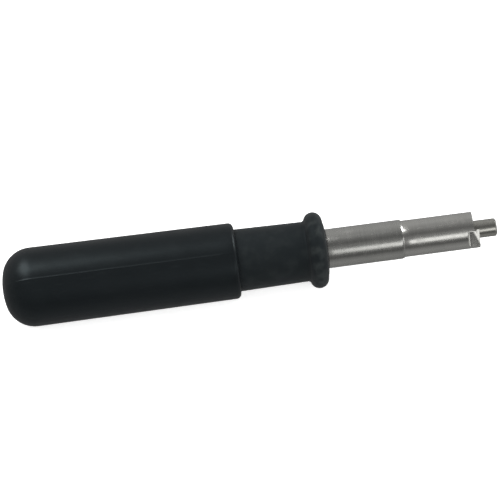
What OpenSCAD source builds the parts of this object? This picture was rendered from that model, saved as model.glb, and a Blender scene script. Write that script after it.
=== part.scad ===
// Lugged hand tool with a spring-loaded centre pin.
// The tool lies along X with its tip towards +X and rests on z = 0.
// Stations along the tool are measured from the butt of the grip.

/* [Grip sleeve] */
// Length of the sleeve from the butt to its front lip
grip_l = 71.6; // [64:0.1:90]
// Largest diameter, just in front of the domed butt
grip_rear_d = 24.1; // [23.4:0.1:26]
// Diameter at the front lip
grip_front_d = 23.2; // [22.8:0.1:23.4]
// Wall thickness of the sleeve
grip_wall = 2.1; // [1.5:0.1:2.3]
// Radius of the flat dome that closes the butt
dome_r = 21.6; // [18:0.2:30]
// Radius of the corner between the dome and the side
corner_r = 9; // [7:0.5:10]
// Radius of the rounded front lip
lip_r = 1.5; // [0.5:0.1:1.6]

/* [Finger collar] */
// Length of the bare neck between the lip and the bead
neck_l = 21.4; // [15:0.1:30]
// Diameter of the neck at the lip
neck_rear_d = 19; // [18.6:0.1:19.2]
// Diameter of the neck at the bead
neck_front_d = 18.2; // [17.8:0.1:18.6]
// Diameter over the bead
bead_d = 23.3; // [22:0.1:23.8]
// Radius of the bead's round section
bead_r = 2.8; // [2.4:0.1:3.2]

/* [Barrel] */
// Diameter of the steel barrel
barrel_d = 12; // [11.8:0.1:12.4]
// Length of barrel that shows in front of the collar
barrel_l = 23.3; // [18:0.1:32]
// Length of the chamfer at the barrel's mouth
mouth_l = 1; // [0.6:0.1:1.5]
// Diameter of the tang inside the handle
tang_d = 10; // [9:0.2:10.4]

/* [Nose] */
// Diameter of the nose
nose_d = 11.2; // [11:0.1:11.5]
// Length of the nose in front of the barrel
nose_l = 23.2; // [18:0.1:30]
// Distance from the axis to the floor of the deep notch
notch_floor = 0.8; // [0:0.1:2.4]
// Length of the notch, from its wall to the end of the lug
notch_l = 1.6; // [1:0.1:2.4]
// Radius of the cutter in the corner between the notch's wall and its floor
notch_r = 0.6; // [0.3:0.1:1]
// Distance from the axis to the flat on each side of the lug
flat_h = 3.6; // [3.4:0.1:5.2]
// Full-depth length of the flats
flat_l = 2.4; // [1.6:0.1:5]
// Angle of each flat from the notch, about the axis
flat_angle = 90; // [85:1:115]
// Radius of the cutter that leaves the run-out behind each flat
flat_r = 1.3; // [0.8:0.1:3]
// Turn of the nose about the axis as the tool lies, 0 with the notch straight up
nose_turn = 42; // [-180:1:180]

/* [Centre pin] */
// Diameter of the centre pin
pin_d = 5.5; // [5.3:0.05:5.6]
// How far the pin stands out of the lug
pin_out = 5.6; // [4:0.1:7]
// How far the pin can be pushed in
pin_travel = 5.4; // [3:0.1:5.5]
// Chamfer at the end of the pin
pin_chamfer = 0.45; // [0.2:0.05:0.8]

/* [Spring] */
// Wire diameter
wire_d = 0.8; // [0.6:0.05:0.8]
// Mean coil diameter
coil_d = 6.5; // [6.4:0.05:6.6]
// Number of turns, the closed end turns included
turns = 10; // [8:0.5:11]

/* [Hidden] */

$fn = 96;
eps = 0.01;
assembly_gap = 0.03;  // between pieces that are pressed or screwed together
run_gap = 0.05;       // radial clearance of the sliding pin

// radii
grip_rear_r = grip_rear_d / 2;
grip_front_r = grip_front_d / 2;
neck_rear_r = neck_rear_d / 2;
neck_front_r = neck_front_d / 2;
barrel_r = barrel_d / 2;
nose_r = nose_d / 2;
tang_r = tang_d / 2;
pin_r = pin_d / 2;

// stations along the axis
corner_x = dome_r - sqrt(pow(dome_r - corner_r, 2) - pow(grip_rear_r - corner_r, 2));
bead_x = grip_l + neck_l + bead_r;
collar_front = bead_x + bead_r + 0.5;
cone_step = 0.2;      // of the front cone's height, what the core's end takes
collar_rear = grip_l - 7;
mouth_x = collar_front + barrel_l;
lug_end = mouth_x + nose_l;
pin_end = lug_end + pin_out;
overall_l = pin_end;

// handle core
core_front_r = 7.4;
core_pocket_r = 6.6;
stud_seat_x = 18;
stud_r = 3;
shoulder_x = 30;
cross_pin_x = grip_l - 23;
cross_pin_r = 1.5;
cross_pin_l = 17.6;

// tang fastening
washer_t = 1.2;
nut_af = 10;
nut_t = 4.5;
stud_end = stud_seat_x - washer_t - nut_t - 0.8;

// inside the barrel
shank_r = 4;
shank_l = 10.2;
shank_x = mouth_x - shank_l;
bore_r = 3.9;
spring_seat_t = 1.2;
spring_l = 17;
ring_t = 1;
ring_r = 3.7;
groove_r = 2.3;
thrust_t = 0.8;
ring_x = shank_x - 0.1 - ring_t;
thrust_x = ring_x - thrust_t;
spring_front = thrust_x;
spring_rear = spring_front - spring_l;
bore_end = spring_rear - spring_seat_t;
pin_tail = spring_rear + pin_travel + 1.5;

// Puts a shape whose axis is Z, with its butt at the origin, in the tool's own place.
module along_tool() {
    translate([-overall_l / 2, 0, grip_rear_r])
        rotate([0, 90, 0])
            children();
}

// Half section of the sleeve's shape, as r and station, drawn `inset` inside its skin.
module sleeve_half(inset) {
    side_r = grip_rear_r - inset;
    front_r = grip_front_r - inset;
    corner_off = grip_rear_r - corner_r;
    toe = atan2(corner_off, dome_r - corner_x);
    intersection() {
        translate([0, dome_r])
            circle(r = dome_r - inset);
        polygon([[0, dome_r], [0, -1], [dome_r * sin(toe), dome_r * (1 - cos(toe))]]);
    }
    intersection() {
        translate([corner_off, corner_x])
            circle(r = corner_r - inset);
        square([2 * grip_rear_r, corner_x]);
    }
    polygon([[0, dome_r], [corner_off, corner_x], [side_r, corner_x], [front_r, grip_l], [0, grip_l]]);
}

// The front lip's rounding, as the piece to cut away from the half section.
module lip_cut() {
    difference() {
        translate([grip_front_r - lip_r, grip_l - lip_r])
            square(2 * lip_r);
        translate([grip_front_r - lip_r, grip_l - lip_r])
            circle(r = lip_r);
    }
}

module grip_sleeve() {
    color([0.09, 0.1, 0.11])
        along_tool()
            rotate_extrude()
                difference() {
                    sleeve_half(0);
                    sleeve_half(grip_wall);
                    translate([0, collar_rear])
                        square([neck_rear_r + assembly_gap, grip_l - collar_rear + eps]);
                    lip_cut();
                }
}

// The neck tapers from the lip to the bead, and a low cone closes the front.
module finger_collar() {
    ring_r = bead_d / 2 - bead_r;
    inner_r = core_front_r + assembly_gap;
    color([0.12, 0.13, 0.13])
        along_tool()
            rotate_extrude()
                difference() {
                    union() {
                        polygon([
                            [0, collar_rear],
                            [neck_rear_r, collar_rear],
                            [neck_rear_r, grip_l],
                            [neck_front_r, bead_x],
                            [ring_r, bead_x + bead_r],
                            [inner_r, collar_front - cone_step],
                            [0, collar_front - cone_step],
                        ]);
                        translate([ring_r, bead_x])
                            circle(r = bead_r);
                    }
                    translate([0, collar_rear - eps])
                        square([inner_r, collar_front]);
                }
}

module handle_core() {
    color([0.2, 0.2, 0.22])
        along_tool()
            difference() {
                rotate_extrude()
                    difference() {
                        union() {
                            intersection() {
                                sleeve_half(grip_wall + assembly_gap);
                                square([2 * grip_rear_r, collar_rear - assembly_gap]);
                            }
                            polygon([
                                [0, collar_rear - 1],
                                [core_front_r, collar_rear - 1],
                                [core_front_r, collar_front - cone_step],
                                [barrel_r, collar_front],
                                [0, collar_front],
                            ]);
                        }
                        polygon([
                            [0, -eps],
                            [core_pocket_r, -eps],
                            [core_pocket_r, stud_seat_x],
                            [stud_r + assembly_gap, stud_seat_x],
                            [stud_r + assembly_gap, shoulder_x],
                            [tang_r + assembly_gap, shoulder_x],
                            [tang_r + assembly_gap, collar_front + eps],
                            [0, collar_front + eps],
                        ]);
                    }
                cross_hole();
            }
}

// The hole that the cross pin is driven through, in the core and in the tang.
module cross_hole() {
    translate([0, 0, cross_pin_x])
        rotate([90, 0, 0])
            cylinder(r = cross_pin_r + assembly_gap / 2, h = 2 * grip_rear_r, center = true);
}

// Threaded stud, tang, barrel and the blind bore for the spring, all turned from one bar.
module barrel() {
    drill_tip = bore_r / tan(59);
    color([0.62, 0.62, 0.6])
        along_tool()
            difference() {
                rotate_extrude()
                    difference() {
                        polygon([
                            [0, stud_end],
                            [stud_r - 0.5, stud_end],
                            [stud_r, stud_end + 0.5],
                            [stud_r, shoulder_x],
                            [tang_r, shoulder_x],
                            [tang_r, collar_front],
                            [barrel_r, collar_front],
                            [barrel_r, mouth_x - mouth_l],
                            [nose_r, mouth_x],
                            [0, mouth_x],
                        ]);
                        polygon([
                            [0, bore_end - drill_tip],
                            [bore_r, bore_end],
                            [bore_r, shank_x],
                            [shank_r + assembly_gap, shank_x],
                            [shank_r + assembly_gap, mouth_x + eps],
                            [0, mouth_x + eps],
                        ]);
                    }
                cross_hole();
            }
}

module tang_washer() {
    color("silver")
        along_tool()
            translate([0, 0, stud_seat_x - washer_t])
                difference() {
                    cylinder(r = core_pocket_r - 0.4, h = washer_t);
                    translate([0, 0, -eps])
                        cylinder(r = stud_r + 0.15, h = washer_t + 2 * eps);
                }
}

// Hexagon nut with its corners turned down on both faces.
module tang_nut() {
    corner_d = nut_af / cos(30);
    color("silver")
        along_tool()
            translate([0, 0, stud_seat_x - washer_t - nut_t])
                difference() {
                    intersection() {
                        cylinder(d = corner_d, h = nut_t, $fn = 6);
                        rotate_extrude()
                            polygon([
                                [0, 0],
                                [nut_af / 2, 0],
                                [corner_d / 2, 0.5],
                                [corner_d / 2, nut_t - 0.5],
                                [nut_af / 2, nut_t],
                                [0, nut_t],
                            ]);
                    }
                    translate([0, 0, -eps])
                        cylinder(r = stud_r + 0.02, h = nut_t + 2 * eps);
                }
}

module cross_pin() {
    color("silver")
        along_tool()
            translate([0, 0, cross_pin_x])
                rotate([90, 0, 0])
                    rotate_extrude()
                        polygon([
                            [0, -cross_pin_l / 2],
                            [cross_pin_r - 0.3, -cross_pin_l / 2],
                            [cross_pin_r, 0.3 - cross_pin_l / 2],
                            [cross_pin_r, cross_pin_l / 2 - 0.3],
                            [cross_pin_r - 0.3, cross_pin_l / 2],
                            [0, cross_pin_l / 2],
                        ]);
}

// One pass of a round cutter: a flat at distance h from the axis, with a curved run-out.
// Angles are about the axis, from the notch.
module cutter_pass(angle, h, full_depth_from, cutter_r) {
    reach = 2 * nose_r;
    rotate([0, 0, 180 - nose_turn + angle])
        translate([h, 0, full_depth_from]) {
            translate([0, -reach, 0])
                cube([reach, 2 * reach, reach]);
            translate([cutter_r, 0, 0])
                rotate([90, 0, 0])
                    cylinder(r = cutter_r, h = 2 * reach, center = true);
            translate([cutter_r, -reach, -cutter_r])
                cube([reach, 2 * reach, reach]);
        }
}

// Everything on the lug's side of the notch's floor.
module lug_side() {
    reach = 4 * nose_r;
    rotate([0, 0, 180 - nose_turn])
        translate([notch_floor - 2 * reach, -reach, shank_x])
            cube([2 * reach, 2 * reach, 2 * lug_end]);
}

// The deep notch bares the pin and leaves a lug below it; a flat on each side narrows the lug.
module nose() {
    color([0.66, 0.65, 0.62])
        along_tool()
            difference() {
                rotate_extrude()
                    difference() {
                        polygon([
                            [0, shank_x],
                            [shank_r, shank_x],
                            [shank_r, mouth_x],
                            [nose_r, mouth_x],
                            [nose_r, lug_end],
                            [0, lug_end],
                        ]);
                        translate([0, shank_x - eps])
                            square([pin_r + run_gap, lug_end - shank_x + 2 * eps]);
                    }
                cutter_pass(0, notch_floor, lug_end - notch_l + notch_r, notch_r);
                for (side = [-1, 1])
                    intersection() {
                        cutter_pass(side * flat_angle, flat_h, lug_end - flat_l, flat_r);
                        lug_side();
                    }
            }
}

module centre_pin() {
    color([0.6, 0.59, 0.57])
        along_tool()
            rotate_extrude()
                polygon([
                    [0, pin_tail],
                    [pin_r - 0.6, pin_tail],
                    [pin_r, pin_tail + 0.6],
                    [pin_r, ring_x],
                    [groove_r, ring_x],
                    [groove_r, ring_x + ring_t],
                    [pin_r, ring_x + ring_t],
                    [pin_r, pin_end - pin_chamfer],
                    [pin_r - pin_chamfer, pin_end],
                    [0, pin_end],
                ]);
}

// Open ring that snaps into the pin's groove and stops it against the nose's shank.
module retaining_ring() {
    mouth = 1.7 * groove_r;
    color("silver")
        along_tool()
            translate([0, 0, ring_x + 0.02])
                difference() {
                    cylinder(r = ring_r, h = ring_t - 0.04);
                    translate([0, 0, -eps])
                        cylinder(r = groove_r + 0.02, h = ring_t);
                    translate([0, -mouth / 2, -eps])
                        cube([2 * ring_r, mouth, ring_t]);
                }
}

module thrust_washer() {
    color("silver")
        along_tool()
            translate([0, 0, thrust_x])
                difference() {
                    cylinder(r = ring_r, h = thrust_t);
                    translate([0, 0, -eps])
                        cylinder(r = pin_r + 0.03, h = thrust_t + 2 * eps);
                }
}

// Height of the wire's centre after t turns: one closed turn at each end, even pitch between.
function wire_z(t) =
    let (closed = wire_d + 0.03, pitch = (spring_l - wire_d - 2 * closed) / (turns - 2))
    t < 1 ? closed * t
    : t > turns - 1 ? spring_l - wire_d - closed * (turns - t)
    : closed + pitch * (t - 1);

module pin_spring() {
    per_turn = 20;
    sides = 8;
    rings = turns * per_turn;
    points = [
        for (i = [0 : rings], j = [0 : sides - 1])
            let (turn = 360 * i / per_turn, a = 360 * j / sides, r = coil_d / 2 + wire_d / 2 * cos(a))
            [r * cos(turn), r * sin(turn), wire_z(i / per_turn) + wire_d / 2 * (1 + sin(a))]
    ];
    skin = [
        for (i = [0 : rings - 1], j = [0 : sides - 1])
            let (k = (j + 1) % sides)
            [i * sides + j, (i + 1) * sides + j, (i + 1) * sides + k, i * sides + k]
    ];
    start_cap = [for (j = [0 : sides - 1]) j];
    end_cap = [for (j = [sides - 1 : -1 : 0]) rings * sides + j];
    color([0.45, 0.46, 0.48])
        along_tool()
            translate([0, 0, spring_rear])
                polyhedron(points = points, faces = concat(skin, [start_cap, end_cap]));
}

// Flat seat for the spring, since the drilled bore ends in a cone.
module spring_seat() {
    boss_r = coil_d / 2 - wire_d / 2 - 0.25;
    color("silver")
        along_tool()
            translate([0, 0, bore_end]) {
                cylinder(r = bore_r - assembly_gap, h = spring_seat_t);
                cylinder(r = boss_r, h = spring_seat_t + 1.2);
            }
}

grip_sleeve();
finger_collar();
handle_core();
barrel();
tang_washer();
tang_nut();
cross_pin();
nose();
centre_pin();
retaining_ring();
thrust_washer();
pin_spring();
spring_seat();
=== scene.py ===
import math
import bpy
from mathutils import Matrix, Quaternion, Vector


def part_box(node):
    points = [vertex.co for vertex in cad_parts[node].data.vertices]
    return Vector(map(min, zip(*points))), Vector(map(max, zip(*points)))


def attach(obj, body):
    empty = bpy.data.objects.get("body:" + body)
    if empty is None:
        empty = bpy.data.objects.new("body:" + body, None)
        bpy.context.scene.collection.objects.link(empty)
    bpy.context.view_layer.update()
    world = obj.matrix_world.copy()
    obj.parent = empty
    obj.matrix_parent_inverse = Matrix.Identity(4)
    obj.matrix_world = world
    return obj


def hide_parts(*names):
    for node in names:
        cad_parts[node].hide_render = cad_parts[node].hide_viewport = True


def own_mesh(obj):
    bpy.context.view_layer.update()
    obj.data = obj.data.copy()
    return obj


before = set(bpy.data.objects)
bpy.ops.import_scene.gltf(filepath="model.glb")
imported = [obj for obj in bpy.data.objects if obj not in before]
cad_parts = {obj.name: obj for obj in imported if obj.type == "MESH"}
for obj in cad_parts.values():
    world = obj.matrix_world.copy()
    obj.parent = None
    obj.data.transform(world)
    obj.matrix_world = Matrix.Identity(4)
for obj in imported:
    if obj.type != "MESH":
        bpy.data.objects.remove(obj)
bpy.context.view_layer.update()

print("frame loaded, nodes:", len(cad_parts))

mm = 0.001
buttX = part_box("grip_sleeve")[0].x
axisZ = (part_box("barrel")[0].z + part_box("barrel")[1].z) / 2


def station(node, end):
    # millimetres from the butt to a node's rear (0) or front (1) end
    return (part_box(node)[end].x - buttX) / mm


gripEnd = station("grip_sleeve", 1)
collarRear = station("finger_collar", 0)
coreEnd = station("handle_core", 1)
barrelEnd = station("barrel", 1)
shankStart = station("nose", 0)
lugEnd = station("nose", 1)
pinStart = station("centre_pin", 0)
pinEnd = station("centre_pin", 1)
ringStart = station("retaining_ring", 0)
springStart = station("pin_spring", 0)
springEnd = station("pin_spring", 1)


# modelling helpers

def clearSelection():
    active = bpy.context.view_layer.objects.active
    if active and active.mode != "OBJECT":
        bpy.ops.object.mode_set(mode="OBJECT")
    bpy.ops.object.select_all(action="DESELECT")


def pick(piece):
    clearSelection()
    piece.select_set(True)
    bpy.context.view_layer.objects.active = piece


def editSelected(piece, kind, test):
    # goes into edit mode with only the parts that pass the test selected
    pick(piece)
    bpy.ops.object.mode_set(mode="EDIT")
    bpy.ops.mesh.select_mode(type=kind)
    bpy.ops.mesh.select_all(action="DESELECT")
    bpy.ops.object.mode_set(mode="OBJECT")
    points = piece.data.vertices
    if kind == "FACE":
        for face in piece.data.polygons:
            face.select = test(face.center, face.normal)
    elif kind == "EDGE":
        for edge in piece.data.edges:
            edge.select = test(points[edge.vertices[0]].co, points[edge.vertices[1]].co)
    else:
        for point in points:
            point.select = test(point.co)
    bpy.ops.object.mode_set(mode="EDIT")


def leaveEdit():
    bpy.ops.object.mode_set(mode="OBJECT")


def bakePlace(piece):
    # the place goes into the mesh, so the object itself stays at the origin
    pick(piece)
    bpy.ops.object.transform_apply(location=True, rotation=True, scale=True)


def addModifier(piece, kind, **settings):
    pick(piece)
    modifier = piece.modifiers.new(kind.title(), kind)
    for key, value in settings.items():
        setattr(modifier, key, value)
    bpy.ops.object.modifier_apply(modifier=modifier.name)


def cleanUp(piece, join=0.0005):
    pick(piece)
    bpy.ops.object.mode_set(mode="EDIT")
    bpy.ops.mesh.select_all(action="SELECT")
    bpy.ops.mesh.remove_doubles(threshold=join * mm)
    bpy.ops.mesh.normals_make_consistent(inside=False)
    leaveEdit()


def smooth(piece, degrees):
    pick(piece)
    bpy.ops.object.shade_smooth_by_angle(angle=math.radians(degrees))


def arc(centreX, centreR, radius, start, end, steps):
    # (station, radius) points on a round stretch: 0 degrees points forward, 90 outward
    points = []
    for i in range(steps + 1):
        a = math.radians(start + (end - start) * i / steps)
        points.append((centreX + radius * math.cos(a), centreR + radius * math.sin(a)))
    return points


def turned(name, outline, segments, ring=False):
    # a lathe job: one circle is extruded from station to station and resized on the way,
    # and an outline that starts and ends on the axis closes in a pole at each end
    clearSelection()
    x, r = outline[0]
    r = max(r, 0.001)
    bpy.ops.mesh.primitive_circle_add(vertices=segments, radius=r * mm,
                                      location=(buttX + x * mm, 0, axisZ),
                                      rotation=(0, math.pi / 2, 0))
    piece = bpy.context.object
    piece.name = name
    piece.data.name = name
    bpy.ops.object.mode_set(mode="EDIT")
    bpy.ops.mesh.select_all(action="SELECT")
    for nextX, nextR in outline[1:] + (outline[:1] if ring else []):
        nextR = max(nextR, 0.001)
        bpy.ops.mesh.extrude_region_move(
            TRANSFORM_OT_translate={"value": ((nextX - x) * mm, 0, 0)})
        grow = nextR / r
        bpy.ops.transform.resize(value=(1, grow, grow),
                                 center_override=(buttX + nextX * mm, 0, axisZ))
        x, r = nextX, nextR
    leaveEdit()
    bakePlace(piece)
    cleanUp(piece, join=0.003)
    return piece


def sideAngle(co):
    # degrees about the tool's axis: 0 towards -Y, 90 straight up
    return math.degrees(math.atan2(co.z - axisZ, -co.y))


def offAxis(co):
    return math.hypot(co.y, co.z - axisZ) / mm


def along(co):
    return (co.x - buttX) / mm


def mount(piece, body, slot, material, *nodes):
    # the piece gets its finish and stands for its CAD nodes
    piece.data.materials.clear()
    piece.data.materials.append(material)
    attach(piece, body)
    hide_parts(*nodes)


# shader helpers

class Wire:
    # one output of a node; arithmetic on it adds Math nodes
    def __init__(self, graph, socket):
        self.graph = graph
        self.socket = socket

    def math(self, operation, *others):
        values = {0: self}
        for i, other in enumerate(others):
            values[i + 1] = other
        return self.graph.node("ShaderNodeMath", {"operation": operation}, values)

    def __add__(self, other):
        return self.math("ADD", other)

    def __radd__(self, other):
        return self.math("ADD", other)

    def __sub__(self, other):
        return self.math("SUBTRACT", other)

    def __mul__(self, other):
        return self.math("MULTIPLY", other)

    def __rmul__(self, other):
        return self.math("MULTIPLY", other)

    def __rsub__(self, other):
        return self.graph.node("ShaderNodeMath", {"operation": "SUBTRACT"}, {0: other, 1: self})

    def clamp(self):
        return self.graph.node("ShaderNodeClamp", {}, {0: self})

    def ramp(self, low, high):
        # 0 at low and 1 at high, with soft ends
        return self.graph.node("ShaderNodeMapRange", {"interpolation_type": "SMOOTHSTEP"},
                               {0: self, 1: low, 2: high, 3: 0.0, 4: 1.0})


class Graph:
    # one node tree, of a material or of the world
    def __init__(self, tree):
        self.tree = tree

    def node(self, kind, settings, values, out=0):
        made = self.tree.nodes.new(kind)
        for key, value in settings.items():
            setattr(made, key, value)
        for key, value in values.items():
            self.plug(value, made.inputs[key])
        if made.outputs:
            return Wire(self, made.outputs[out])

    def plug(self, value, socket):
        if isinstance(value, Wire):
            self.tree.links.new(value.socket, socket)
        else:
            socket.default_value = value

    def parts(self, vector):
        split = self.node("ShaderNodeSeparateXYZ", {}, {0: vector}).socket.node
        return [Wire(self, split.outputs[i]) for i in range(3)]

    def greys(self, amount, tones):
        # a soft ramp, with its stops given in degrees from -180 to 180
        shade = self.node("ShaderNodeValToRGB", {}, {0: amount})
        ramp = shade.socket.node.color_ramp
        ramp.interpolation = "EASE"
        while len(ramp.elements) < len(tones):
            ramp.elements.new(0.5)
        for stop, (angle, tone) in zip(ramp.elements, tones):
            stop.position = (angle + 180) / 360
            stop.color = (tone, tone, tone, 1)
        return shade


class Finish(Graph):
    # one material, with its Principled shader ready
    def __init__(self, name, **sockets):
        self.material = bpy.data.materials.new(name)
        self.material.use_nodes = True
        super().__init__(self.material.node_tree)
        self.shader = self.tree.nodes["Principled BSDF"]
        self.place = self.node("ShaderNodeTexCoord", {}, {}, out="Object")
        self.give(**sockets)

    def give(self, **sockets):
        # Base_Color stands for the socket Base Color, and so on
        for key, value in sockets.items():
            self.plug(value, self.shader.inputs[key.replace("_", " ")])

    def blend(self, amount, first, second):
        return self.node("ShaderNodeMix", {"data_type": "RGBA"}, {0: amount, 6: first, 7: second}, out=2)

    def noise(self, vector, scale, detail=2.0, roughness=0.5):
        return self.node("ShaderNodeTexNoise", {},
                         {"Vector": vector, "Scale": scale, "Detail": detail, "Roughness": roughness})

    def cells(self, vector, scale):
        return self.node("ShaderNodeTexVoronoi", {"feature": "F1"}, {"Vector": vector, "Scale": scale})

    def vector(self, x, y, z):
        return self.node("ShaderNodeCombineXYZ", {}, {0: x, 1: y, 2: z})

    def aboutAxis(self):
        # station along the tool, angle about its axis in radians, and distance from the axis
        x, y, z = self.parts(self.place)
        up = z - axisZ
        angle = up.math("ARCTAN2", y)
        distance = (y * y + up * up).math("SQRT")
        return x, angle, distance

    def bump(self, height, strength, distance, normal=None):
        values = {"Height": height, "Strength": strength, "Distance": distance}
        if normal:
            values["Normal"] = normal
        return self.node("ShaderNodeBump", {}, values)


# materials

def gripPlastic():
    look = {
        "colour": (0.0038, 0.0048, 0.0056, 1),
        "worn": (0.0090, 0.0105, 0.0115, 1),
        "roughness": 0.36,
        "grain": 9000,         # moulded texture, in cells per metre
        "grainHeight": 0.00001,
        "waveHeight": 0.0006,  # long waves of the moulded wall, in metres
    }
    f = Finish("gripPlastic", IOR=1.47, Specular_IOR_Level=0.28, Specular_Tint=(0.80, 0.96, 1.0, 1))
    x, angle, distance = f.aboutAxis()
    clouds = f.noise(f.place, 70, detail=4)
    smudge = f.noise(f.place, 190, detail=3).ramp(0.48, 0.72)
    rubs = f.noise(f.vector(x * 60, angle * 4, distance * 60), 3.0, detail=5).ramp(0.55, 0.8)
    grain = f.noise(f.place, look["grain"], detail=2)
    waves = f.noise(f.vector(x, angle * 0.006, distance), 60, detail=2)
    f.give(Base_Color=f.blend(rubs * 0.35 + clouds * 0.25, look["colour"], look["worn"]),
           Roughness=(clouds - 0.5) * 0.16 + smudge * 0.07 + look["roughness"])
    fine = f.bump(grain, 0.16, look["grainHeight"])
    f.give(Normal=f.bump(waves, 0.30, look["waveHeight"], fine))
    return f.material


def collarRubber():
    look = {
        "colour": (0.0050, 0.0064, 0.0074, 1),
        "dustAndSheen": (0.034, 0.038, 0.037, 1),
        "roughness": 0.62,
        "grain": 5200,
        "crest": (0.0098, 0.0119),  # distances from the axis between which the lighter tone takes over: painted sheen on the bead's crest, with some real dust
    }
    f = Finish("collarRubber", IOR=1.48, Specular_IOR_Level=0.2, Specular_Tint=(0.80, 0.96, 1.0, 1),
               Sheen_Weight=0.05, Sheen_Roughness=0.4)
    x, angle, distance = f.aboutAxis()
    crest = distance.ramp(*look["crest"])
    dirt = f.noise(f.place, 320, detail=5).ramp(0.40, 0.75)
    clouds = f.noise(f.place, 90, detail=4)
    grain = f.noise(f.place, look["grain"], detail=3)
    pits = f.cells(f.place, 2600).ramp(0.0, 0.45)
    # the crest term is painted sheen that lightens the bead's crest all round; the smaller term everywhere
    # is real dust in random patches
    dustAndCrestSheen = (crest * 0.42 + 0.14) * dirt + clouds * 0.06
    f.give(Base_Color=f.blend(dustAndCrestSheen, look["colour"], look["dustAndSheen"]),
           Roughness=(clouds - 0.5) * 0.14 + dirt * 0.06 + look["roughness"])
    f.give(Normal=f.bump(grain * 0.7 + pits * 0.3, 0.30, 0.00003))
    return f.material


def nylon():
    f = Finish("coreNylon", IOR=1.53)
    x, angle, distance = f.aboutAxis()
    glass = f.noise(f.vector(x * 0.25, angle * 0.005, distance), 2600, detail=3)
    clouds = f.noise(f.place, 110, detail=3)
    f.give(Base_Color=f.blend(glass * 0.5 + clouds * 0.3, (0.018, 0.019, 0.020, 1), (0.05, 0.051, 0.053, 1)),
           Roughness=clouds * 0.2 + 0.42)
    f.give(Normal=f.bump(glass, 0.3, 0.00002))
    return f.material


def turnedSteel(name, look):
    # tool marks run round the axis, so the pattern hardly changes with the angle
    f = Finish(name, Metallic=1.0, IOR=2.5)
    x, angle, distance = f.aboutAxis()
    feed = f.noise(f.vector(x, angle * 0.00006, distance * 0.4), look["feed"], detail=3, roughness=0.65)
    bands = f.noise(f.vector(x, angle * 0.0006, distance), look["bands"], detail=2)
    clouds = f.noise(f.place, 160, detail=4)
    handled = f.noise(f.place, 420, detail=5).ramp(0.5, 0.78)
    scratch = f.noise(f.vector(x * 0.12, angle * 0.01, distance), 2400, detail=2).ramp(0.66, 0.72)
    tone = (feed - 0.5) * look["contrast"] + (bands - 0.5) * 0.25 + (clouds - 0.5) * 0.35 + 0.5
    f.give(Base_Color=f.blend(tone.clamp(), look["dark"], look["light"]),
           Roughness=(feed - 0.5) * 0.10 + (clouds - 0.5) * 0.08 + handled * 0.07 + scratch * 0.08
                     + look["roughness"])
    marks = f.bump(feed, look["depth"], 0.00003)
    f.give(Normal=f.bump(scratch, 0.06, 0.00002, marks))
    return f.material


def barrelSteel():
    return turnedSteel("barrelSteel", {
        "dark": (0.41, 0.41, 0.39, 1), "light": (0.67, 0.67, 0.64, 1),
        "feed": 9000, "bands": 500, "contrast": 0.55, "depth": 0.06, "roughness": 0.25})


def noseSteel():
    return turnedSteel("noseSteel", {
        "dark": (0.48, 0.478, 0.455, 1), "light": (0.76, 0.755, 0.72, 1),
        "feed": 10000, "bands": 600, "contrast": 0.5, "depth": 0.055, "roughness": 0.24})


def pinSteel():
    return turnedSteel("pinSteel", {
        "dark": (0.36, 0.355, 0.325, 1), "light": (0.62, 0.615, 0.57, 1),
        "feed": 14000, "bands": 900, "contrast": 0.4, "depth": 0.045, "roughness": 0.27})


def springSteel():
    f = Finish("springSteel", Metallic=1.0)
    drawn = f.noise(f.place, 5200, detail=3)
    clouds = f.noise(f.place, 380, detail=3)
    f.give(Base_Color=f.blend(clouds * 0.7 + drawn * 0.3, (0.16, 0.16, 0.165, 1), (0.42, 0.42, 0.43, 1)),
           Roughness=drawn * 0.12 + clouds * 0.1 + 0.2)
    f.give(Normal=f.bump(drawn, 0.2, 0.00001))
    return f.material


def zincPlate():
    f = Finish("zincPlate", Metallic=1.0)
    spangle = f.cells(f.place, 900)
    clouds = f.noise(f.place, 240, detail=4)
    grain = f.noise(f.place, 7000, detail=2)
    f.give(Base_Color=f.blend(clouds * 0.6 + spangle * 0.5, (0.50, 0.52, 0.56, 1), (0.74, 0.74, 0.72, 1)),
           Roughness=clouds * 0.14 + grain * 0.08 + 0.24)
    f.give(Normal=f.bump(grain, 0.22, 0.00001))
    return f.material


gripLook = gripPlastic()
collarLook = collarRubber()
coreLook = nylon()
barrelLook = barrelSteel()
noseLook = noseSteel()
pinLook = pinSteel()
springLook = springSteel()
zincLook = zincPlate()
print("materials made:", len(bpy.data.materials))


# grip sleeve

grip = {
    "rear": 12.05, "front": 11.6,    # radii just in front of the dome and at the lip
    "wall": 2.1,
    "dome": 21.6, "corner": 9.0,     # radii of the butt's dome and of its corner
    "lip": 1.5,
    "spigot": 9.53,                  # radius of the counterbore that takes the collar
    "gate": 1.1, "gateDepth": 0.25,  # the moulding gate's mark at the middle of the butt
    "edge": 0.2,                     # rounding of the mouth's inner edge
    "rings": 22,
    "segments": 144,
    "seams": (67.5, -112.5),         # degrees about the axis, where the mould parts
    "seamWidth": 0.18, "seamHeight": 0.08,
    "seamStart": 3,                  # distance from the axis where the line starts on the butt
    "seamStop": 0.5,                 # its end behind the lip
}


def gripOutline(inset):
    # the sleeve's profile from the butt's pole to the side, drawn inset inside its skin
    off = grip["rear"] - grip["corner"]
    cornerX = grip["dome"] - math.sqrt((grip["dome"] - grip["corner"]) ** 2 - off ** 2)
    toe = math.degrees(math.atan2(off, grip["dome"] - cornerX))
    dome = arc(grip["dome"], 0, grip["dome"] - inset, 180, 180 - toe, 8)
    corner = arc(cornerX, off, grip["corner"] - inset, 180 - toe, 90, 22)
    return dome + corner[1:]


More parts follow.
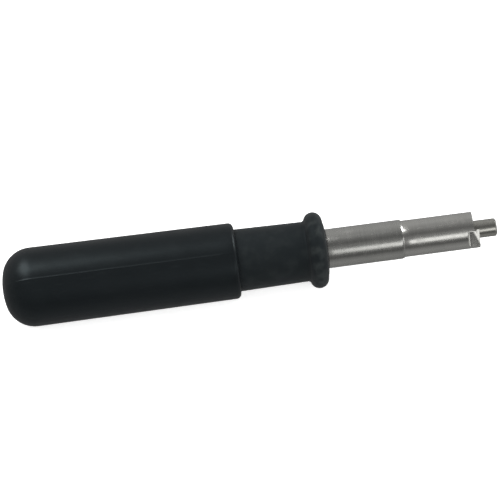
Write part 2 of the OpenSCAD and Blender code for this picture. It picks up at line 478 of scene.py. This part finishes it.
def raiseSeam(piece, angle):
    # a fine flash line: the meridian's edges are beveled and their middle line is lifted
    def onSeam(co, off=0.4):
        return (abs(sideAngle(co) - angle) < off and offAxis(co) > grip["seamStart"]
                and offAxis(co) > grip["rear"] - grip["wall"] / 2 - max(0, 12 - along(co)))

    def skinEdge(a, b):
        outside = along(a) < gripEnd - grip["lip"] and along(b) < gripEnd - grip["lip"]
        return onSeam(a) and onSeam(b) and outside

    editSelected(piece, "EDGE", skinEdge)
    bpy.ops.mesh.bevel(offset=grip["seamWidth"] * mm, segments=2, affect="EDGES")
    leaveEdit()
    last = gripEnd - grip["lip"] - grip["seamStop"]
    editSelected(piece, "VERT", lambda co: onSeam(co, 0.05) and along(co) < last)
    lift = 1 + grip["seamHeight"] / grip["rear"]
    bpy.ops.transform.resize(value=(1, lift, lift), center_override=(0, 0, axisZ))
    leaveEdit()


def makeGrip():
    outer = gripOutline(0)
    rearX = outer[-1][0]
    gate = [(grip["gateDepth"], 0), (grip["gateDepth"], grip["gate"] - 0.15),
            (0.06, grip["gate"])]
    outer = gate + [p for p in outer if p[1] > grip["gate"] + 0.2]
    side = []
    for i in range(1, grip["rings"]):
        t = i / grip["rings"]
        side.append((rearX + (gripEnd - grip["lip"] - rearX) * t,
                     grip["rear"] + (grip["front"] - grip["rear"]) * t))
    lip = arc(gripEnd - grip["lip"], grip["front"] - grip["lip"], grip["lip"], 90, 0, 10)
    mouth = arc(gripEnd - grip["edge"], grip["spigot"] + grip["edge"], grip["edge"], 0, -90, 4)
    bore = [(collarRear, grip["spigot"])]
    inner = gripOutline(grip["wall"])[::-1]
    piece = turned("gripSleeve", outer + side + lip + mouth + bore + inner, grip["segments"])
    for angle in grip["seams"]:
        raiseSeam(piece, angle)
    smooth(piece, 35)
    return piece


sleeve = makeGrip()
mount(sleeve, "handle", "grip", gripLook, "grip_sleeve")
print("grip sleeve:", len(sleeve.data.polygons), "faces")


# finger collar

collar = {
    "rear": 9.5, "front": 9.1,       # neck radii at the lip and at the bead
    "beadX": 95.8, "beadRing": 8.85, # station and radius of the bead's centre circle
    "bead": 2.8,                     # radius of the bead's round section
    "fillet": 0.9,                   # between the neck and the bead
    "bore": 7.43,
    "edge": 0.2,                     # rounding of the bore's front edge
    "rings": 14,
    "segments": 128,
}


def makeCollar():
    beadX, ring, fillet = collar["beadX"], collar["beadRing"], collar["fillet"]
    filletR = collar["front"] + 0.04 + fillet
    reach = collar["bead"] + fillet
    filletX = beadX - math.sqrt(reach ** 2 - (filletR - ring) ** 2)
    lean = math.degrees(math.asin((filletR - ring) / reach))
    neck = []
    for i in range(collar["rings"] + 1):
        t = i / collar["rings"]
        neck.append((gripEnd + (filletX - gripEnd) * t,
                     collar["rear"] + (filletR - fillet - collar["rear"]) * t))
    rise = arc(filletX, filletR, fillet, -90, -lean, 6)
    bead = arc(beadX, ring, collar["bead"], 180 - lean, 8, 30)
    face = arc(beadX + collar["bead"] + 0.10, collar["bore"] + 0.25, collar["edge"], 60, -90, 5)
    rear = [(collarRear, collar["bore"]), (collarRear, collar["rear"])]
    piece = turned("fingerCollar", neck + rise[1:] + bead + face + rear,
                   collar["segments"], ring=True)
    smooth(piece, 40)
    return piece


collarPiece = makeCollar()
mount(collarPiece, "handle", "collar", collarLook, "finger_collar")
print("finger collar:", len(collarPiece.data.polygons), "faces")


# barrel

barrel = {
    "stud": 3.0, "studStart": 11.5, "shoulder": 30.0,
    "tang": 5.0,
    "radius": 6.0, "mouth": 5.6, "mouthLength": 1.0, "shoulderRound": 1.9,
    "bore": 3.9, "boreEnd": 92.1, "drillTip": 2.34,
    "seat": 4.03,                    # bore that takes the nose's shank
    "crossPin": 48.6, "crossHole": 1.515,
    "edge": 0.12,                    # rounding of the rear edge
    "break": 0.03, "seatBreak": 0.1, # broken edges at the mouth
    "studChamfer": 0.5,
    "rings": 12,
    "segments": 128,
}


def makeBarrel():
    b = barrel
    edge = b["edge"]
    chamferX = barrelEnd - b["mouthLength"]
    outline = [(b["boreEnd"] - b["drillTip"], 0), (b["boreEnd"], b["bore"]), (shankStart, b["bore"]),
               (shankStart, b["seat"]), (barrelEnd - b["seatBreak"], b["seat"]),
               (barrelEnd, b["seat"] + b["seatBreak"]), (barrelEnd, b["mouth"] - b["break"]),
               (barrelEnd - b["break"], b["mouth"])]
    # the shoulder is rounded off, so that it turns steeper towards the mouth
    outline += arc(chamferX, b["radius"] - b["shoulderRound"], b["shoulderRound"], 58, 90, 10)
    for i in range(1, b["rings"]):
        outline.append((chamferX - (chamferX - coreEnd) * i / b["rings"], b["radius"]))
    outline += arc(coreEnd + edge, b["radius"] - edge, edge, 90, 180, 4)
    outline += [(coreEnd, b["tang"]), (b["shoulder"], b["tang"]), (b["shoulder"], b["stud"]),
                (b["studStart"] + b["studChamfer"], b["stud"]),
                (b["studStart"], b["stud"] - b["studChamfer"]),
                (b["studStart"], 0)]
    piece = turned("steelBarrel", outline, b["segments"])
    clearSelection()
    bpy.ops.mesh.primitive_cylinder_add(vertices=48, radius=b["crossHole"] * mm, depth=30 * mm,
                                        location=(buttX + b["crossPin"] * mm, 0, axisZ),
                                        rotation=(math.pi / 2, 0, 0))
    drill = bpy.context.object
    cutAway(piece, drill)
    smooth(piece, 30)
    return piece


def cutAway(piece, *cutters):
    for cutter in cutters:
        addModifier(piece, "BOOLEAN", operation="DIFFERENCE", object=cutter, solver="EXACT")
        bpy.data.objects.remove(cutter)


barrelPiece = makeBarrel()
mount(barrelPiece, "handle", "barrel_steel", barrelLook, "barrel")
print("barrel:", len(barrelPiece.data.polygons), "faces")


# nose

nose = {
    "radius": 5.6, "shank": 4.0,
    "bore": 2.8,
    "turn": 42,                      # degrees from straight up towards +Y that the notch faces
    # floor: distance from the axis; cutter: radius that the cutter leaves at its run-out
    "notch": {"angle": 0, "floor": 0.8, "length": 1.6, "cutter": 0.6},
    "nearFlat": {"angle": 90, "floor": 3.6, "length": 3.7, "cutter": 1.3, "side": -1},
    "farFlat": {"angle": -90, "floor": 3.6, "length": 3.7, "cutter": 1.3, "side": 1},
    "edge": 0.07,                    # bevel of every sharp edge
    "frontEdge": 0.10,               # rounding of the turned front edge
    "boreBreak": 0.08, "shankChamfer": 0.2,
    "rings": 10,
    "segments": 160,
}


def cutterAt(angle, floor, length, cutter, side=0):
    # the space a round cutter takes: a block whose lower rear edge has the cutter's radius;
    # with a side given, the block stays on the lug's side of the notch's floor
    rear = lugEnd - length
    size = 24
    across = side * (size / 2 - nose["notch"]["floor"]) * mm
    clearSelection()
    bpy.ops.mesh.primitive_cube_add(size=size * mm, location=(buttX + (rear + size / 2) * mm, across,
                                                              axisZ + (floor + size / 2) * mm))
    block = bpy.context.object
    bakePlace(block)
    low = axisZ + (floor + 0.01) * mm
    back = buttX + (rear + 0.01) * mm
    editSelected(block, "EDGE", lambda a, b: max(a.z, b.z) < low and max(a.x, b.x) < back)
    bpy.ops.mesh.bevel(offset=cutter * mm, segments=20, affect="EDGES")
    leaveEdit()
    bpy.context.scene.cursor.location = (0, 0, axisZ)
    pick(block)
    bpy.ops.object.origin_set(type="ORIGIN_CURSOR")
    block.rotation_euler[0] = math.radians(angle - nose["turn"])
    bakePlace(block)
    return block


def makeNose():
    n = nose
    edge = n["frontEdge"]
    outline = [(shankStart, n["bore"]), (shankStart, n["shank"] - n["shankChamfer"]),
               (shankStart + n["shankChamfer"], n["shank"]),
               (barrelEnd, n["shank"]), (barrelEnd, n["radius"])]
    for i in range(1, n["rings"]):
        outline.append((barrelEnd + (lugEnd - edge - barrelEnd) * i / n["rings"], n["radius"]))
    outline += arc(lugEnd - edge, n["radius"] - edge, edge, 90, 0, 4)
    outline += [(lugEnd, n["bore"] + n["boreBreak"]), (lugEnd - n["boreBreak"], n["bore"])]
    piece = turned("luggedNose", outline, n["segments"], ring=True)
    for cut in ("notch", "nearFlat", "farFlat"):
        cutAway(piece, cutterAt(**n[cut]))
    addModifier(piece, "BEVEL", width=n["edge"] * mm, segments=2, limit_method="ANGLE",
                angle_limit=math.radians(38))
    smooth(piece, 30)
    return piece


nosePiece = makeNose()
mount(nosePiece, "handle", "nose_steel", noseLook, "nose")
print("nose:", len(nosePiece.data.polygons), "faces")


# centre pin

pin = {
    "radius": 2.75, "chamfer": 0.45, "tailChamfer": 0.6,
    "groove": 2.3, "grooveWidth": 1.0,
    "edge": 0.08,
    "dish": 1.0, "dishEdge": 0.1, "dishDepth": 0.03,   # the faint centre mark of the end face
    "rings": 14,
    "segments": 96,
}


def makePin():
    p = pin
    grooveX = ringStart - 0.02
    outline = [(pinStart, 0), (pinStart, p["radius"] - p["tailChamfer"]),
               (pinStart + p["tailChamfer"], p["radius"]), (grooveX, p["radius"]),
               (grooveX, p["groove"]), (grooveX + p["grooveWidth"], p["groove"]),
               (grooveX + p["grooveWidth"], p["radius"])]
    start = grooveX + p["grooveWidth"]
    stop = pinEnd - p["chamfer"] - p["edge"]
    for i in range(1, p["rings"]):
        outline.append((start + (stop - start) * i / p["rings"], p["radius"]))
    outline += arc(stop, p["radius"] - p["edge"], p["edge"], 90, 45, 3)
    outline += arc(pinEnd - p["edge"], p["radius"] - p["chamfer"] - p["edge"], p["edge"], 45, 0, 3)
    outline += [(pinEnd, p["dish"] + p["dishEdge"]), (pinEnd - p["dishDepth"], p["dish"]),
                (pinEnd - p["dishDepth"], 0)]
    piece = turned("centrePin", outline, p["segments"])
    smooth(piece, 30)
    return piece


pinPiece = makePin()
mount(pinPiece, "plunger", "pin_steel", pinLook, "centre_pin")
print("centre pin:", len(pinPiece.data.polygons), "faces")


# spring

spring = {
    "wire": 0.8, "coil": 6.5, "turns": 10,
    "perTurn": 36,
    "kept": 0.682,                   # share of its length at the end of the pin's travel
}


def makeSpring():
    s = spring
    length = springEnd - springStart
    closed = s["wire"] + 0.03
    pitch = (length - s["wire"] - 2 * closed) / (s["turns"] - 2)

    def wireX(turn):
        if turn < 1:
            return closed * turn
        if turn > s["turns"] - 1:
            return length - s["wire"] - closed * (s["turns"] - turn)
        return closed + pitch * (turn - 1)

    count = s["turns"] * s["perTurn"] + 1
    clearSelection()
    line = bpy.data.curves.new("pinSpring", "CURVE")
    line.dimensions = "3D"
    spline = line.splines.new("POLY")
    spline.points.add(count - 1)
    for i in range(count):
        turn = i / s["perTurn"]
        a = 2 * math.pi * turn
        x = springStart + s["wire"] / 2 + wireX(turn)
        spline.points[i].co = (buttX + x * mm, -math.sin(a) * s["coil"] / 2 * mm,
                               axisZ + math.cos(a) * s["coil"] / 2 * mm, 1)
    line.bevel_depth = s["wire"] / 2 * mm * 0.995
    line.bevel_resolution = 3
    line.use_fill_caps = True
    piece = bpy.data.objects.new("pinSpring", line)
    bpy.context.scene.collection.objects.link(piece)
    pick(piece)
    bpy.ops.object.convert(target="MESH")
    piece = bpy.context.object
    cleanUp(piece)
    smooth(piece, 50)
    return piece


springPiece = makeSpring()
mount(springPiece, "handle", "spring_steel", springLook, "pin_spring")
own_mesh(springPiece)
print("spring:", len(springPiece.data.polygons), "faces")


# the inner pieces keep their CAD shape and take a finish

innerFinish = {
    "handle_core": coreLook,
    "tang_washer": zincLook,
    "tang_nut": zincLook,
    "cross_pin": zincLook,
    "spring_seat": zincLook,
    "thrust_washer": zincLook,
    "retaining_ring": springLook,
}
for name, look in innerFinish.items():
    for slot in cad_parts[name].material_slots:
        slot.material = look
print("inner pieces finished:", len(innerFinish))


# floor, camera and lights

def makeFloor():
    clearSelection()
    bpy.ops.mesh.primitive_plane_add(size=6, location=(0, 0, -0.00005))
    floor = bpy.context.object
    floor.name = "studioFloor"
    f = Finish("palePaper", Roughness=0.9, Specular_IOR_Level=0.1,
               Emission_Color=(1, 1, 1, 1), Emission_Strength=0.6)
    fibre = f.noise(f.place, 900, detail=3)
    f.give(Base_Color=f.blend(fibre, (0.90, 0.90, 0.90, 1), (0.93, 0.93, 0.925, 1)))
    floor.data.materials.append(f.material)
    floor.visible_glossy = False     # the steel mirrors the studio, not the paper


view = {
    "lens": 284.5,
    "azimuth": -4, "elevation": 55.7, "roll": -4.09,   # degrees: azimuth 0 looks along +Y
    "distance": 1200,                                  # millimetres
    "aim": (0.32, 2.17, 13.54),
}


def makeCamera():
    az = math.radians(view["azimuth"])
    el = math.radians(view["elevation"])
    away = Vector((math.sin(az) * math.cos(el), -math.cos(az) * math.cos(el), math.sin(el)))
    aim = Vector(view["aim"]) * mm
    clearSelection()
    turn = away.to_track_quat("Z", "Y") @ Quaternion((0, 0, 1), math.radians(view["roll"]))
    bpy.ops.object.camera_add(location=aim + away * view["distance"] * mm, rotation=turn.to_euler())
    camera = bpy.context.object
    camera.data.lens = view["lens"]
    camera.data.sensor_width = 36
    camera.data.clip_start = 0.01
    bpy.context.scene.camera = camera


lights = {
    # degrees about the tool's axis from -Y over the top, millimetres, and brightness
    "keyBox": {"angle": 32, "x": 135, "far": 300, "size": (200, 125), "level": 1.2},
    "rearBox": {"angle": 117, "x": -250, "far": 480, "size": (300, 360), "level": 4.6},
    "frontBox": {"angle": 20, "x": 560, "far": 200, "size": (200, 500), "level": 1.1},
    "lipLamp": {"angle": 138, "x": 400, "far": 330, "size": (190, 190), "level": 8.0},
}


def makeLight(name, angle, x, far, size, level):
    a = math.radians(angle)
    place = Vector((x * mm, -math.cos(a) * far * mm, axisZ + math.sin(a) * far * mm))
    centre = Vector((x * 0.35 * mm, 0, axisZ))
    clearSelection()
    bpy.ops.object.light_add(type="AREA", location=place,
                             rotation=(place - centre).to_track_quat("Z", "Y").to_euler())
    light = bpy.context.object
    light.name = name
    light.data.shape = "RECTANGLE"
    light.data.size = size[0] * mm
    light.data.size_y = size[1] * mm
    light.data.energy = level * math.pi * size[0] * size[1] * mm * mm


def makeFill():
    # even light for the floor and the matt surfaces, kept out of the mirrors
    clearSelection()
    bpy.ops.object.light_add(type="SUN", rotation=(0.25, 0.1, 0))
    fill = bpy.context.object
    fill.name = "fill"
    fill.data.energy = 2.6
    fill.data.angle = math.radians(120)
    fill.visible_glossy = False


def makeStudio():
    # the room as the steel sees it: brightness by degrees about the tool's axis
    tones = [(-180, 0.40), (-135, 0.26), (-90, 0.24), (-42, 0.32), (-26, 0.26), (-4, 0.09),
             (12, 0.16), (34, 0.30), (56, 0.24), (76, 0.12), (94, 0.17), (116, 0.27),
             (150, 0.42), (180, 0.40)]
    world = bpy.data.worlds.new("studio")
    bpy.context.scene.world = world
    world.use_nodes = True
    world.node_tree.nodes.clear()
    g = Graph(world.node_tree)
    x, y, z = g.parts(g.node("ShaderNodeTexCoord", {}, {}, out="Generated"))
    turn = z.math("ARCTAN2", y * -1)
    share = g.node("ShaderNodeMapRange", {}, {0: turn, 1: -math.pi, 2: math.pi})
    glow = g.node("ShaderNodeBackground", {}, {0: g.greys(share, tones)})
    g.node("ShaderNodeOutputWorld", {}, {0: glow})


makeFloor()
makeCamera()
for name, settings in lights.items():
    makeLight(name, **settings)
makeFill()
makeStudio()
bpy.context.scene.view_settings.view_transform = "Standard"
print("stage, camera and lights ready")
